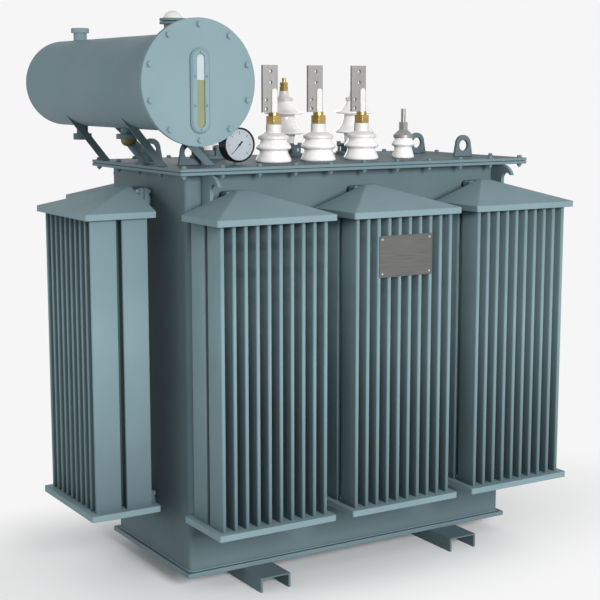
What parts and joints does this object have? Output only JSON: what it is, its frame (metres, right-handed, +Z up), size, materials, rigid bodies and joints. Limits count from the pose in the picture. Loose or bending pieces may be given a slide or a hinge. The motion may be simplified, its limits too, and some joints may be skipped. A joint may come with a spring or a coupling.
{
  "type": "electrical transformer",
  "caption": "Oil-filled distribution transformer with finned radiators, a drum conservator, porcelain bushings on a bolted cover and channel skids.",
  "frame": {"origin": "on the floor, under the middle of the whole object's box", "axes": "+X along the tank away from the conservator, -Y the side of the low-voltage terminals, +Z up"},
  "size_m": [2.0252, 1.454, 2.2915],
  "materials": {
    "tank_paint": "satin",
    "radiator_paint": "satin",
    "conservator_paint": "satin",
    "gasket_rubber": "matt",
    "gauge_oil": "gloss",
    "gauge_glass": "gloss",
    "pale_cap": "gloss",
    "porcelain": "glazed",
    "grey_casting": "painted",
    "aluminium": "satin",
    "brass": "machined",
    "black_enamel": "gloss",
    "dial_white": "matt"
  },
  "bodies": {
    "root": {"skids": "tank_paint", "base_plate": "tank_paint", "tank_wall": "tank_paint", "tank_rim": "tank_paint", "cover_plate": "tank_paint", "lifting_hooks": "tank_paint", "lifting_eyes": "tank_paint", "radiator_flanges": "tank_paint", "front_left_radiator_headers": "radiator_paint", "front_left_radiator_tubes": "radiator_paint", "front_middle_radiator_headers": "radiator_paint", "front_middle_radiator_tubes": "radiator_paint", "front_right_radiator_headers": "radiator_paint", "front_right_radiator_tubes": "radiator_paint", "back_left_radiator_headers": "radiator_paint", "back_left_radiator_tubes": "radiator_paint", "back_middle_radiator_headers": "radiator_paint", "back_middle_radiator_tubes": "radiator_paint", "back_right_radiator_headers": "radiator_paint", "back_right_radiator_tubes": "radiator_paint", "left_end_radiator_headers": "radiator_paint", "left_end_radiator_tubes": "radiator_paint", "conservator_shell": "conservator_paint", "conservator_back": "conservator_paint", "conservator_flange": "conservator_paint", "conservator_cover": "conservator_paint", "gauge_frame": "conservator_paint", "filler_neck": "conservator_paint", "filler_cap": "conservator_paint", "vent_neck": "conservator_paint", "drain_stub": "conservator_paint", "pipe_stub": "conservator_paint", "oil_pipe": "conservator_paint", "conservator_struts": "conservator_paint", "cover_gasket": "gasket_rubber", "gauge_oil": "gauge_oil", "gauge_glass": "gauge_glass", "vent_dome": "pale_cap", "lv_insulators": "porcelain", "neutral_insulator": "porcelain", "hv_insulators": "porcelain", "hv_flanges": "grey_casting", "lv_collars": "aluminium", "lv_terminals": "aluminium", "hv_caps": "aluminium", "neutral_terminal": "aluminium", "lv_nuts": "brass", "hv_studs": "brass", "oil_valve": "brass", "thermometer_pocket": "brass", "thermometer_case": "black_enamel", "thermometer_dial": "dial_white"}
  },
  "joints": []
}
